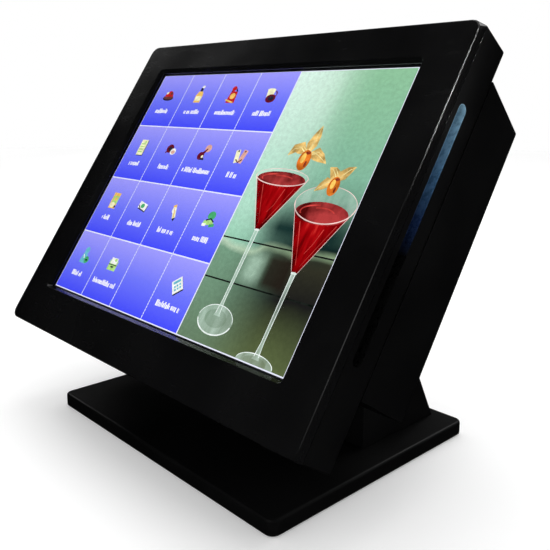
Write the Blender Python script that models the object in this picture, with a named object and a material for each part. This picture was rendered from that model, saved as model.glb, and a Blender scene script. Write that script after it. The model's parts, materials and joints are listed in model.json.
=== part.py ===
"""Point-of-sale touchscreen terminal on a tilting stand.

Lengths are in millimetres and become metres in add_sections() and in place().
Head pieces use x, depth (back from the face) and height (up the face) from the middle of the
screen's lower edge. Stand pieces use x, y and z from the middle of the base, on the table.
"""

import math

import bmesh
import bpy
from mathutils import Vector

MM = 0.001
GAP = 0.3

# Driving dimensions
SCREEN_W, SCREEN_H = 304.1, 228.1
SIDE_MARGIN, TOP_MARGIN, BOTTOM_MARGIN = 35.6, 30.4, 38.7
SCREEN_RECESS = 4.7
BEZEL_DEPTH = 7.1
CASE_DEPTH = 35.5
HOUSING_DEPTH = 86.2
HOUSING_LOW = 8.0
HOUSING_TOP_FRONT, HOUSING_TOP_REAR = 235.2, 225.6
CORNER_RADIUS, REAR_CORNER = 8.0, 1.6
EDGE_RADIUS = 1.2
WALL = 3.0
REST_TILT = math.radians(33.7)

BASE_W, BASE_D, BASE_TOP = 285.0, 220.8, 12.1
BASE_CORNER = 7.0
NECK_W = 236.0
NECK_LEAN = math.radians(27.6)
NECK_FOOT_Y = 99.4
BARREL_RADIUS = 13.0
ARM_HALF = 71.0
SHAFT_RADIUS = 5.0

HINGE_DEPTH, HINGE_HEIGHT = 100.0, 92.0

# Values that follow from them
HALF_W = SCREEN_W / 2 + SIDE_MARGIN
LOW, HIGH = -BOTTOM_MARGIN, SCREEN_H + TOP_MARGIN
MID_H = SCREEN_H / 2
NECK_HALF = NECK_W / 2
NECK_BOTTOM = BASE_TOP + GAP
NECK_RISE = 123.1
HINGE_Z = BASE_TOP + NECK_RISE
HINGE_Y = (
    NECK_FOOT_Y
    - (HINGE_Z - BASE_TOP) * math.tan(NECK_LEAN)
    - BARREL_RADIUS / math.cos(NECK_LEAN)
)
ROUNDING = EDGE_RADIUS * (math.cos(REST_TILT) + math.sin(REST_TILT) - 1)
FRONT_REACH = (
    HINGE_DEPTH * math.cos(REST_TILT)
    + (HINGE_HEIGHT - LOW) * math.sin(REST_TILT)
    - HINGE_Y
    - ROUNDING
)
BASE_CENTRE_Y = (FRONT_REACH - BASE_D / 2) / 2

# Finishes: colour, metallic, roughness
FINISHES = {
    "black_plastic": ((0.012, 0.012, 0.013), 0.0, 0.35),
    "soft_black": ((0.02, 0.02, 0.02), 0.0, 0.6),
    "rubber": ((0.03, 0.03, 0.03), 0.0, 0.9),
    "glass": ((0.02, 0.02, 0.03), 0.0, 0.05),
    "screen": ((0.2, 0.22, 0.6), 0.0, 0.2),
    "sheet_steel": ((0.6, 0.61, 0.62), 1.0, 0.4),
    "dark_steel": ((0.12, 0.12, 0.13), 1.0, 0.45),
    "aluminium": ((0.75, 0.76, 0.77), 1.0, 0.35),
    "circuit_board": ((0.02, 0.13, 0.06), 0.0, 0.5),
    "connector": ((0.7, 0.7, 0.7), 1.0, 0.3),
}


# Outlines: lists of 2-D points

def rounded_rect(left, right, low, high, radius, steps=4):
    corners = (
        (right - radius, high - radius, 0),
        (left + radius, high - radius, 90),
        (left + radius, low + radius, 180),
        (right - radius, low + radius, 270),
    )
    outline = []
    for cx, cy, start in corners:
        for i in range(steps + 1):
            a = math.radians(start + 90 * i / steps)
            outline.append((cx + radius * math.cos(a), cy + radius * math.sin(a)))
    return outline


def rect(left, right, low, high):
    return [(left, low), (right, low), (right, high), (left, high)]


def circle(cx, cy, radius, sides=24):
    turns = [2 * math.pi * i / sides for i in range(sides)]
    return [(cx + radius * math.cos(a), cy + radius * math.sin(a)) for a in turns]


def head_outline(inset=0.0, corner=REAR_CORNER):
    """The head seen from the front, with its edges moved in by inset."""
    radius = max(corner - inset, 0.5)
    return rounded_rect(-HALF_W + inset, HALF_W - inset, LOW + inset, HIGH - inset, radius)


# Cross-sections: lists of equal-length rings of 3-D points

def along_x(outline, low, high):
    return [[(x, a, b) for a, b in outline] for x in (low, high)]


def along_y(outline, low, high):
    return [[(a, y, b) for a, b in outline] for y in (low, high)]


def along_z(outline, low, high):
    return [[(a, b, z) for a, b in outline] for z in (low, high)]


def stepped_y(pairs):
    """Sections from (outline, depth) pairs."""
    return [[(a, depth, b) for a, b in outline] for outline, depth in pairs]


def block(x0, x1, y0, y1, z0, z1):
    return along_y(rect(x0, x1, z0, z1), y0, y1)


def disc_x(y, z, radius, x0, x1, sides=24):
    return along_x(circle(y, z, radius, sides), x0, x1)


def disc_y(x, z, radius, y0, y1, sides=24):
    return along_y(circle(x, z, radius, sides), y0, y1)


def disc_z(x, y, radius, z0, z1, sides=24):
    return along_z(circle(x, y, radius, sides), z0, z1)


# Objects

def add_sections(bm, sections):
    rings = [[bm.verts.new(Vector(point) * MM) for point in ring] for ring in sections]
    bm.faces.new(rings[0])
    bm.faces.new(list(reversed(rings[-1])))
    for near, far in zip(rings, rings[1:]):
        for i, vert in enumerate(near):
            j = (i + 1) % len(near)
            bm.faces.new((vert, near[j], far[j], far[i]))


def mesh_of(name, pieces):
    bm = bmesh.new()
    for sections in pieces:
        add_sections(bm, sections)
    bmesh.ops.recalc_face_normals(bm, faces=bm.faces)
    mesh = bpy.data.meshes.new(name)
    bm.to_mesh(mesh)
    bm.free()
    mesh.shade_smooth()
    mesh.set_sharp_from_angle(angle=math.radians(32))
    return mesh


def place(name, mesh, parent, offset):
    obj = bpy.data.objects.new(name, mesh)
    bpy.context.scene.collection.objects.link(obj)
    obj.parent = parent
    obj.location = Vector(offset) * MM
    return obj


def own_material(name, finish):
    colour, metallic, roughness = FINISHES[finish]
    material = bpy.data.materials.new(name)
    material.use_nodes = True
    shader = material.node_tree.nodes["Principled BSDF"]
    shader.inputs["Base Color"].default_value = (*colour, 1)
    shader.inputs["Metallic"].default_value = metallic
    shader.inputs["Roughness"].default_value = roughness
    return material


def combine(obj, operation, pieces):
    """Join pieces to obj, or take them from it, with a hidden tool in the same place."""
    mesh = mesh_of(obj.name + "_tool", pieces)
    tool = place(mesh.name, mesh, obj.parent, (0, 0, 0))
    tool.location = obj.location
    tool.hide_render = True
    tool.display_type = "WIRE"
    boolean = obj.modifiers.new(operation.lower(), "BOOLEAN")
    boolean.operation = operation
    boolean.object = tool


class Group:
    """Pieces that share a parent empty and a drawing origin."""

    def __init__(self, empty, offset):
        self.empty = empty
        self.offset = offset

    def add(self, name, finish, *pieces, join=(), cut=()):
        obj = place(name, mesh_of(name, pieces), self.empty, self.offset)
        obj.data.materials.append(own_material(name, finish))
        for operation, sets in (("UNION", join), ("DIFFERENCE", cut)):
            for tool_pieces in sets:
                combine(obj, operation, tool_pieces)
        return obj

    def copies(self, name, finish, spots, *pieces):
        """Copies of one small piece, each with its origin on its own spot."""
        mesh = mesh_of(name, pieces)
        for number, spot in enumerate(spots, 1):
            each = mesh.copy()
            each.materials.append(own_material(f"{name}_{number}", finish))
            where = Vector(spot) + Vector(self.offset)
            place(f"{name}_{number}", each, self.empty, where)


def make_group(name, location, tilt, offset):
    empty = bpy.data.objects.new(name, None)
    bpy.context.scene.collection.objects.link(empty)
    empty.location = Vector(location) * MM
    empty.rotation_euler = (tilt, 0, 0)
    return Group(empty, offset)


# Head: screen side

GLASS_FRONT = SCREEN_RECESS
GLASS_BACK = GLASS_FRONT + 3.0
GLASS_HALF_W, GLASS_HALF_H = 159.0, 121.0
PANEL_HALF_W, PANEL_HALF_H = 163.2, 126.7
PANEL_FRONT = GLASS_BACK + 2.2
PANEL_BACK = PANEL_FRONT + 12.0
CASE_FRONT = BEZEL_DEPTH + GAP
CASE_BACK_WALL = CASE_DEPTH - WALL


def front_bezel(head):
    front_plate = SCREEN_RECESS - GAP
    edge = [(EDGE_RADIUS * (1 - math.sin(a)), EDGE_RADIUS * (1 - math.cos(a)))
            for a in (0, math.pi / 6, math.pi / 3, math.pi / 2)]
    shell = stepped_y([(head_outline(inset, CORNER_RADIUS), depth) for inset, depth in edge]
                      + [(head_outline(), BEZEL_DEPTH)])
    half, lip = SCREEN_W / 2 + GAP, 2.6
    window = stepped_y([
        (rounded_rect(-half - grow, half + grow, -GAP - grow, SCREEN_H + GAP + grow, 1 + grow), depth)
        for grow, depth in ((lip + 1, -1.7), (0, front_plate - 0.6), (0, front_plate + 1))
    ])
    pocket = along_y(head_outline(WALL, CORNER_RADIUS), front_plate, BEZEL_DEPTH + 1)
    head.add("front_bezel", "black_plastic", shell, cut=([pocket], [window]))


def screen_stack(head):
    def centred(half_w, half_h, radius):
        return rounded_rect(-half_w, half_w, MID_H - half_h, MID_H + half_h, radius, 3)

    head.add("touch_glass", "glass",
             along_y(centred(GLASS_HALF_W, GLASS_HALF_H, 2), GLASS_FRONT, GLASS_BACK))
    ring = along_y(centred(GLASS_HALF_W, GLASS_HALF_H, 2), GLASS_BACK + GAP, PANEL_FRONT - GAP)
    hole = along_y(centred(GLASS_HALF_W - 6, GLASS_HALF_H - 6, 1), GLASS_BACK, PANEL_FRONT)
    head.add("dust_gasket", "rubber", ring, cut=([hole],))
    head.add("lcd_panel", "screen",
             along_y(centred(PANEL_HALF_W, PANEL_HALF_H, 1.5), PANEL_FRONT, PANEL_BACK))
    for side, sign in (("left", -1), ("right", 1)):
        web, flange = PANEL_HALF_W + GAP, CASE_BACK_WALL - GAP
        profile = [(web, PANEL_FRONT), (web + 1.5, PANEL_FRONT), (web + 1.5, flange - 1.5),
                   (web + 17, flange - 1.5), (web + 17, flange), (web, flange)]
        profile = [(sign * x, depth) for x, depth in profile]
        head.add(f"lcd_bracket_{side}", "sheet_steel", along_z(profile, 6, 222))


# Head: middle case and what it holds

SLOT_FRONT, SLOT_BACK = 12.4, 21.6
SLOT_TOP = 204.6
SLOT_LOW = SCREEN_H - SLOT_TOP
SLOT_FLOOR_X = HALF_W - 11.6
BUTTON_X, BUTTON_DEPTH_POS, BUTTON_RADIUS = 150.0, 20.0, 6.0
SPEAKER_X, SPEAKER_DEPTH = 105.0, 19.0
CASE_SCREWS = [(sign * 174.0, CASE_DEPTH, z) for z in (-24.0, 246.5) for sign in (-1, 1)]
BOSS_RADIUS, SCREW_SHANK, SCREW_HEAD = 4.5, 1.5, 3.2


def slot_outline():
    radius = (SLOT_BACK - SLOT_FRONT) / 2 - 0.01
    return rounded_rect(SLOT_FRONT, SLOT_BACK, SLOT_LOW, SLOT_TOP, radius)


def at_case_screws(radius, front, back):
    return [disc_y(x, z, radius, front, back, 16) for x, _, z in CASE_SCREWS]


def mid_case(head):
    shell = stepped_y([(head_outline(), CASE_FRONT), (head_outline(), CASE_DEPTH - 1.5),
                       (head_outline(0.45), CASE_DEPTH - 0.45), (head_outline(1.5), CASE_DEPTH)])
    inside = along_y(head_outline(WALL), CASE_FRONT - 1, CASE_BACK_WALL)
    opening = along_y(rounded_rect(-168, 168, 22, 222, 6), CASE_BACK_WALL - 1, CASE_DEPTH + 1)
    slot = along_x(slot_outline(), HALF_W - WALL - 2, HALF_W + 2)
    button_hole = disc_z(BUTTON_X, BUTTON_DEPTH_POS, BUTTON_RADIUS + GAP, LOW - 2, LOW + WALL + 2)
    speaker_slots = [
        along_z(rounded_rect(x - 16, x + 16, depth - 1, depth + 1, 0.9, 1), LOW - 2, LOW + WALL + 2)
        for x in (-SPEAKER_X, SPEAKER_X)
        for depth in (SPEAKER_DEPTH + 4 * i for i in (-2, -1, 0, 1, 2))
    ]
    bosses = at_case_screws(BOSS_RADIUS, CASE_FRONT + 2, CASE_BACK_WALL + 1)
    screw_holes = at_case_screws(SCREW_SHANK + GAP, CASE_FRONT, CASE_DEPTH + 1)
    sinks = at_case_screws(SCREW_HEAD + GAP, CASE_DEPTH - 2, CASE_DEPTH + 1)
    head.add("mid_case", "black_plastic", shell,
             cut=([inside], [opening, slot, button_hole, *speaker_slots]))
    case = bpy.data.objects["mid_case"]
    combine(case, "UNION", bosses)
    combine(case, "DIFFERENCE", screw_holes)
    combine(case, "DIFFERENCE", sinks)


def case_screws(head):
    screw_head = disc_y(0, 0, SCREW_HEAD, -1.7, 0, 16)
    shank = disc_y(0, 0, SCREW_SHANK, -22, -1.6, 16)
    recess = [block(-1.8, 1.8, -1.0, 1, -0.4, 0.4)], [block(-0.4, 0.4, -1.0, 1, -1.8, 1.8)]
    for number, (x, depth, z) in enumerate(CASE_SCREWS, 1):
        one = Group(head.empty, Vector(head.offset) + Vector((x, depth, z)))
        one.add(f"case_screw_{number}", "dark_steel", screw_head, join=([shank],), cut=recess)


def card_reader(head):
    outer_x = HALF_W - WALL - GAP
    outline = rounded_rect(9.4, 24.6, SLOT_LOW - 8, SLOT_TOP + 8, 1.5, 2)
    body = along_x(outline, SLOT_FLOOR_X - 2.5, outer_x)
    channel = along_x(slot_outline(), SLOT_FLOOR_X, outer_x + 2)
    pocket = block(SLOT_FLOOR_X + 0.8, outer_x - 1.2, 9.9, SLOT_FRONT + 1, MID_H - 10, MID_H + 10)
    head.add("card_reader_body", "soft_black", body, cut=([channel], [pocket]))
    nose = [(10.2, MID_H - 9.5), (12.0, MID_H - 9.5), (13.6, MID_H - 5), (14.0, MID_H),
            (13.6, MID_H + 5), (12.0, MID_H + 9.5), (10.2, MID_H + 9.5)]
    head.add("card_read_head", "connector", along_x(nose, SLOT_FLOOR_X + 1.2, outer_x - 1.6))


def speakers(head):
    for side, sign in (("left", -1), ("right", 1)):
        def outline(half_w, half_d, radius, steps=3):
            x, y = sign * SPEAKER_X, SPEAKER_DEPTH
            return rounded_rect(x - half_w, x + half_w, y - half_d, y + half_d, radius, steps)

        low = LOW + WALL + 2 * GAP
        frame = along_z(outline(22, 8.5, 3), low, low + 6)
        magnet = along_z(outline(11, 6, 3), low + 5, low + 13)
        cone = [[(x, y, z) for x, y in outline(w, h, h - 0.5, 4)]
                for w, h, z in ((20, 7, low - 1), (20, 7, low), (12, 4, low + 3.5))]
        head.add(f"speaker_{side}", "soft_black", frame, join=([magnet],), cut=([cone],))


def power_button(head):
    """The button's own origin lies on its sliding axis, at the case's underside."""
    spot = Vector(head.offset) + Vector((BUTTON_X, BUTTON_DEPTH_POS, LOW))
    own = Group(head.empty, spot)
    cap = along_z(circle(0, 0, BUTTON_RADIUS), -1.4, WALL + 1.0)
    flange = along_z(circle(0, 0, BUTTON_RADIUS + 1.8), WALL + 2 * GAP, WALL + 1.8)
    stem = along_z(circle(0, 0, 2, 16), WALL + 1.5, WALL + 4.2)
    own.add("power_button", "soft_black", cap, join=([flange], [stem]))
    x, y, top = BUTTON_X, BUTTON_DEPTH_POS, LOW + WALL + 6.0
    switch = block(x - 6, x + 6, y - 6, y + 6, top, top + 4)
    board = block(x - 14, x + 14, y - 9, y + 9, top + 3.8, top + 5.4)
    head.add("power_switch", "circuit_board", board, join=([switch],))


def touch_controller(head):
    depth, low = PANEL_BACK + 2.5, LOW + WALL + 3
    board = block(-45, 25, depth, depth + 1.6, low, low + 26)
    chip = block(-22, -8, depth + 1.5, depth + 2.9, low + 6, low + 20)
    socket = block(2, 18, depth + 1.5, depth + 6.5, low + 4, low + 9)
    head.add("touch_controller", "circuit_board", board, join=([chip, socket],))


# Head: computer housing

PLATE_FRONT = CASE_DEPTH + GAP
PLATE_BACK = PLATE_FRONT + 1.5
BOARD_FRONT = 44.0
BOARD_BACK = BOARD_FRONT + 1.6
BOARD_X0, BOARD_X1, BOARD_LOW, BOARD_HIGH = -95.0, 125.0, 27.0, 205.0
POWER_X0, POWER_X1, POWER_LOW, POWER_HIGH = 132.0, 178.0, 60.0, 200.0
DRIVE_X0, DRIVE_X1, DRIVE_LOW, DRIVE_HIGH = -176.0, -106.0, 70.0, 170.0
PANEL_LOW = HOUSING_LOW + WALL + GAP
PANEL_TOP = PANEL_LOW + 1.2


def housing_outline(inset, front):
    """The housing seen from the side, as depth and height points."""
    slope = (HOUSING_TOP_REAR - HOUSING_TOP_FRONT) / (HOUSING_DEPTH - CASE_DEPTH)
    top_front = HOUSING_TOP_FRONT + slope * (front - PLATE_FRONT) - inset
    rear = HOUSING_DEPTH - inset
    top_rear = HOUSING_TOP_REAR - slope * inset - inset
    low = HOUSING_LOW + inset
    return [(front, low), (rear, low), (rear, top_rear), (front, top_front)]


def rear_housing(head):
    inside = along_x(housing_outline(WALL, PLATE_FRONT - 2), -HALF_W + WALL, HALF_W - WALL)
    window = rounded_rect(BOARD_X0, BOARD_X1, 41, 72, 3)
    port_window = along_z(window, HOUSING_LOW - 2, HOUSING_LOW + WALL + 2)
    rear_vents = [
        along_y(rounded_rect(sign * 105 - 32, sign * 105 + 32, z - 1.5, z + 1.5, 1.4, 1),
                HOUSING_DEPTH - WALL - 2, HOUSING_DEPTH + 2)
        for sign in (-1, 1) for z in (150 + 7 * i for i in range(9))
    ]
    vent_low, vent_high = HOUSING_TOP_REAR - 8, HOUSING_TOP_FRONT + 3
    top_vents = [
        along_z(rounded_rect(x - 1.5, x + 1.5, 48, 76, 1.4, 1), vent_low, vent_high)
        for x in (side * (40 + 7 * i) for side in (-1, 1) for i in range(14))
    ]
    arm_holes = at_arm_screws(ARM_SCREW_SHANK + GAP, HOUSING_DEPTH - WALL - 2, HOUSING_DEPTH + 2)
    name = "rear_housing"
    obj = head.add(name, "black_plastic", along_x(housing_outline(0, PLATE_FRONT), -HALF_W, HALF_W))
    round_rear_edges(obj.data, HOUSING_DEPTH * MM, 2.0 * MM)
    combine(obj, "DIFFERENCE", [inside])
    combine(obj, "DIFFERENCE", [port_window, *rear_vents, *top_vents, *arm_holes])


def round_rear_edges(mesh, depth, radius):
    """Round the four edges that lie at the given depth."""
    bm = bmesh.new()
    bm.from_mesh(mesh)
    rear = [edge for edge in bm.edges if all(abs(vert.co.y - depth) < 1e-6 for vert in edge.verts)]
    bmesh.ops.bevel(bm, geom=rear, offset=radius, segments=3, profile=0.5, affect="EDGES")
    bm.to_mesh(mesh)
    bm.free()
    mesh.set_sharp_from_angle(angle=math.radians(32))


def standoff_spots():
    for x0, x1, low, high in (
        (BOARD_X0, BOARD_X1, BOARD_LOW + 8, BOARD_HIGH),
        (POWER_X0, POWER_X1, POWER_LOW, POWER_HIGH),
    ):
        for x in (x0 + 6, x1 - 6):
            for z in (low + 6, high - 6):
                yield x, z


def chassis_plate(head):
    plate = along_y(rounded_rect(-180, 180, 16, 222, 3, 2), PLATE_FRONT, PLATE_BACK)
    back, tip = PLATE_BACK - 0.5, BOARD_FRONT - GAP
    standoffs = [disc_y(x, z, 3.2, back, tip, 12) for x, z in standoff_spots()]
    head.add("chassis_plate", "sheet_steel", plate, join=(standoffs,))


def motherboard(head):
    board = block(BOARD_X0, BOARD_X1, BOARD_FRONT, BOARD_BACK, BOARD_LOW, BOARD_HIGH)
    raised = [(-88, -24, 98, 104, 6.0), (80, 88, 60, 130, 9.0), (96, 104, 60, 130, 9.0),
              (-84, -60, 120, 144, 2.0), (60, 74, 160, 196, 8.0), (-40, -16, 160, 184, 4.0)]
    seat = BOARD_BACK - 0.4
    parts = [block(x0, x1, seat, BOARD_BACK + tall, z0, z1) for x0, x1, z0, z1, tall in raised]
    capacitors = [disc_y(-6 + 14 * i, 192, 4.5, seat, BOARD_BACK + 11, 12) for i in range(4)]
    head.add("motherboard", "circuit_board", board, join=([*parts, *capacitors],))


CPU_X, CPU_Z = 25.0, 132.0
SINK_HALF, SINK_FINS, FIN_THICK, FIN_TOP = 40.0, 13, 1.6, 74.0


def processor_and_sink(head):
    low, high = BOARD_BACK + GAP, BOARD_BACK + GAP + 2.4
    chip = block(CPU_X - 18, CPU_X + 18, low, high, CPU_Z - 18, CPU_Z + 18)
    head.add("processor", "connector", chip)
    base, top = high + GAP, high + GAP + 4
    pitch = (2 * SINK_HALF - FIN_THICK) / (SINK_FINS - 1)
    profile = [(CPU_X - SINK_HALF, base)]
    for i in range(SINK_FINS):
        left = CPU_X - SINK_HALF + i * pitch
        if i:
            profile.append((left, top))
        profile += [(left, FIN_TOP), (left + FIN_THICK, FIN_TOP)]
        if i < SINK_FINS - 1:
            profile.append((left + FIN_THICK, top))
    profile.append((CPU_X + SINK_HALF, base))
    head.add("heat_sink", "aluminium", along_z(profile, CPU_Z - 35, CPU_Z + 27))


def memory_module(head):
    x0, x1, low, high = -86.0, -18.4, 62.0, 92.0
    depth = BOARD_BACK + 3.0
    board = block(x0, x1, depth, depth + 1.0, low, high)
    chips = [block(x0 + 5 + 16 * i, x0 + 17 + 16 * i, depth + 0.8, depth + 2.2, low + 8, high - 5)
             for i in range(4)]
    head.add("memory_module", "circuit_board", board, join=(chips,))


def storage_drive(head):
    seat = PLATE_BACK + GAP
    wall_top, sheet = 53.0, 1.2
    left, right = DRIVE_X0 - GAP, DRIVE_X1 + GAP
    profile = [(left - sheet, seat), (right + sheet, seat),
               (right + sheet, wall_top), (right, wall_top),
               (right, seat + sheet), (left, seat + sheet),
               (left, wall_top), (left - sheet, wall_top)]
    head.add("drive_bracket", "sheet_steel", along_z(profile, DRIVE_LOW + 6, DRIVE_HIGH - 6))
    body = along_y(rounded_rect(DRIVE_X0, DRIVE_X1, DRIVE_LOW, DRIVE_HIGH, 2, 2), 46.5, 54.0)
    label_step = block(DRIVE_X0 + 4, DRIVE_X1 - 4, 53.8, 54.4, DRIVE_LOW + 12, DRIVE_HIGH - 4)
    head.add("storage_drive", "aluminium", body, join=([label_step],))


def power_board(head):
    board = block(POWER_X0, POWER_X1, BOARD_FRONT, BOARD_BACK, POWER_LOW, POWER_HIGH)
    coils = [disc_y(155, z, 9, BOARD_BACK - 0.4, BOARD_BACK + 12, 16) for z in (90, 130)]
    blocks = [block(140, 170, BOARD_BACK - 0.4, BOARD_BACK + 10, 152, 182)]
    capacitors = [disc_y(x, 72, 5, BOARD_BACK - 0.4, BOARD_BACK + 14, 12) for x in (146, 160)]
    head.add("power_board", "circuit_board", board, join=([*coils, *blocks, *capacitors],))


# Connectors: name, middle x, half width, depth size, kind
PORTS = (
    ("power_inlet", -80.0, 6.5, 12.0, "barrel"),
    ("cash_drawer_port", -56.0, 7.2, 13.0, "jack"),
    ("network_port", -32.0, 8.2, 14.0, "jack"),
    ("usb_port", -8.0, 7.4, 15.0, "usb"),
    ("serial_port_left", 28.0, 15.5, 12.0, "dsub"),
    ("serial_port_right", 66.0, 15.5, 12.0, "dsub"),
    ("display_port", 102.0, 12.5, 12.0, "dsub"),
)
PORT_HEIGHT = 15.0
PORT_MARGIN = 0.8


PORT_DEPTH = BOARD_BACK + GAP
PORT_MOUTH = PANEL_LOW - 1.0


def port_mouth(x, half, size, kind):
    """What a kind of connector shows at its mouth, as shallow cuts."""
    low, high = PORT_MOUTH - 1, PORT_MOUTH + 3.2
    mid = PORT_DEPTH + size / 2
    if kind == "barrel":
        return [disc_z(x, mid, 3.2, low, high, 16)]
    if kind == "jack":
        return [block(x - half + 1.4, x + half - 1.4, mid - 3.6, mid + 3.6, low, high)]
    if kind == "usb":
        return [block(x - half + 1, x + half - 1, y, y + 3.2, low, high) for y in (mid - 4.6, mid + 1.4)]
    outline = rounded_rect(x - half + 3, x + half - 3, mid - 3.8, mid + 3.8, 2, 3)
    return [along_z(outline, low, PORT_MOUTH + 1.4)]


def connectors(head):
    panel = block(BOARD_X0 - 6, BOARD_X1 + 6, PLATE_BACK + 1.2, 76, PANEL_LOW, PANEL_TOP)
    openings = []
    for name, x, half, size, kind in PORTS:
        back = PORT_DEPTH + size
        openings.append(block(x - half - PORT_MARGIN, x + half + PORT_MARGIN,
                              PORT_DEPTH - 0.6, back + PORT_MARGIN, PANEL_LOW - 1, PANEL_TOP + 1))
        shell = block(x - half, x + half, PORT_DEPTH, back, PORT_MOUTH, BOARD_LOW + PORT_HEIGHT)
        finish = "soft_black" if kind == "barrel" else "connector"
        head.add(name, finish, shell, cut=(port_mouth(x, half, size, kind),))
    head.add("connector_panel", "sheet_steel", panel, cut=(openings,))


# Tilt joint

ARM_BACK = HOUSING_DEPTH + GAP + 4.0
ARM_SCREW_SPOTS = [(sign * 56.0, z) for z in (64.0, 128.0) for sign in (-1, 1)]
ARM_SCREW_SHANK, ARM_SCREW_HEAD = 2.0, 4.0
SHAFT_INNER, SHAFT_OUTER = 34.0, 96.0
BRACKET_X0, BRACKET_X1 = 73.0, 76.0
WASHER_RADIUS = 9.0
NUT_RADIUS = 9.3


def at_arm_screws(radius, front, back):
    return [disc_y(x, z, radius, front, back, 16) for x, z in ARM_SCREW_SPOTS]


def tilt_arm(head):
    plate = along_y(rounded_rect(-ARM_HALF, ARM_HALF, 52, 140, 8), HOUSING_DEPTH + GAP, ARM_BACK)
    web = block(-ARM_HALF + 1, ARM_HALF - 1, ARM_BACK - 1, HINGE_DEPTH,
                HINGE_HEIGHT - 9, HINGE_HEIGHT + 9)
    barrel = disc_x(HINGE_DEPTH, HINGE_HEIGHT, BARREL_RADIUS - 0.8, -ARM_HALF, ARM_HALF, 32)
    bore = disc_x(HINGE_DEPTH, HINGE_HEIGHT, SHAFT_RADIUS + GAP, -ARM_HALF - 1, ARM_HALF + 1, 16)
    holes = at_arm_screws(ARM_SCREW_SHANK + GAP, HOUSING_DEPTH - 1, ARM_BACK + 1)
    sinks = at_arm_screws(ARM_SCREW_HEAD + GAP, ARM_BACK - 2.2, ARM_BACK + 1)
    head.add("tilt_arm", "dark_steel", plate, join=([web], [barrel]), cut=([bore], holes, sinks))


def arm_screws(head):
    cap = disc_y(0, 0, ARM_SCREW_HEAD, -1.8, 0, 16)
    shank = disc_y(0, 0, ARM_SCREW_SHANK, -12, -1.7, 16)
    socket = disc_y(0, 0, 1.5, -1.2, 1, 6)
    for number, (x, z) in enumerate(ARM_SCREW_SPOTS, 1):
        one = Group(head.empty, Vector(head.offset) + Vector((x, ARM_BACK, z)))
        one.add(f"arm_screw_{number}", "dark_steel", cap, join=([shank],), cut=([socket],))


def side_name(sign):
    return "left" if sign < 0 else "right"


def hinge_fixings(stand):
    """Shafts, friction washers and nuts, each drawn about its own origin on the tilt axis."""
    axis = Group(stand.empty, Vector(stand.offset) + Vector((0, HINGE_Y, HINGE_Z)))
    hole = disc_x(0, 0, SHAFT_RADIUS + GAP, -200, 200, 16)
    for sign in (-1, 1):
        side = side_name(sign)
        spans = [(SHAFT_INNER, SHAFT_OUTER), (BRACKET_X1 + GAP, 82.0), (82.0 + GAP, 89.5)]
        (s0, s1), (w0, w1), (n0, n1) = [sorted((sign * a, sign * b)) for a, b in spans]
        axis.add(f"hinge_shaft_{side}", "dark_steel", disc_x(0, 0, SHAFT_RADIUS, s0, s1, 16))
        sleeve = disc_x(0, 0, WASHER_RADIUS - 1.2, w0, w1, 16)
        washers = axis.add(f"friction_washers_{side}", "sheet_steel", sleeve)
        middles = [sign * x for x in (77.2, 79.15, 81.1)]
        discs = [disc_x(0, 0, WASHER_RADIUS, x - 0.75, x + 0.75, 16) for x in middles]
        combine(washers, "UNION", discs)
        combine(washers, "DIFFERENCE", [hole])
        axis.add(f"hinge_nut_{side}", "sheet_steel", disc_x(0, 0, NUT_RADIUS, n0, n1, 6), cut=([hole],))


# Stand

def neck_outline(inset, low):
    """The neck seen from the side, as y and z points, front foot first."""
    radius = BARREL_RADIUS - inset
    front = HINGE_Y - radius
    foot = NECK_FOOT_Y - inset / math.cos(NECK_LEAN) - (low - BASE_TOP) * math.tan(NECK_LEAN)
    steps = 10
    start, end = math.pi, NECK_LEAN
    arc = [start + (end - start) * i / steps for i in range(steps + 1)]
    crown = [(HINGE_Y + radius * math.cos(a), HINGE_Z + radius * math.sin(a)) for a in arc]
    return [(front, low), *crown, (foot, low)]


def rear_plane(z, inset=0.0):
    """y of the neck's rear face at a height."""
    return NECK_FOOT_Y - (z - BASE_TOP) * math.tan(NECK_LEAN) - inset / math.cos(NECK_LEAN)


COVER_LOW, COVER_HIGH, COVER_HALF = 22.0, 106.0, 92.0
EXIT_HALF, EXIT_HIGH = 22.0, 40.0
NECK_CUT_Z = HINGE_Z - BARREL_RADIUS - 1.6


def slanted_panel(half, low, high, outer_inset, inner_inset):
    """A panel that lies in the neck's rear face."""
    profile = [(rear_plane(low, outer_inset), low), (rear_plane(high, outer_inset), high),
               (rear_plane(high, inner_inset), high), (rear_plane(low, inner_inset), low)]
    return along_x(profile, -half, half)


def neck_shell(stand):
    inside = along_x(neck_outline(WALL, BASE_TOP - 5), -NECK_HALF + WALL, NECK_HALF - WALL)
    middle = block(-ARM_HALF - 1, ARM_HALF + 1, HINGE_Y - 30, HINGE_Y + 40, NECK_CUT_Z, HINGE_Z + 30)
    doorway = slanted_panel(COVER_HALF, COVER_LOW, COVER_HIGH, -6, WALL + 4)
    body = along_x(neck_outline(0, NECK_BOTTOM), -NECK_HALF, NECK_HALF)
    stand.add("neck_shell", "black_plastic", body, cut=([inside], [middle], [doorway]))


def neck_rear_cover(stand):
    door = slanted_panel(COVER_HALF - GAP, COVER_LOW + GAP, COVER_HIGH - GAP, 0.0, WALL)
    cable_exit = along_y(rounded_rect(-EXIT_HALF, EXIT_HALF, COVER_LOW - 20, EXIT_HIGH, 8), 40, 120)
    stand.add("neck_rear_cover", "black_plastic", door, cut=([cable_exit],))


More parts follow.
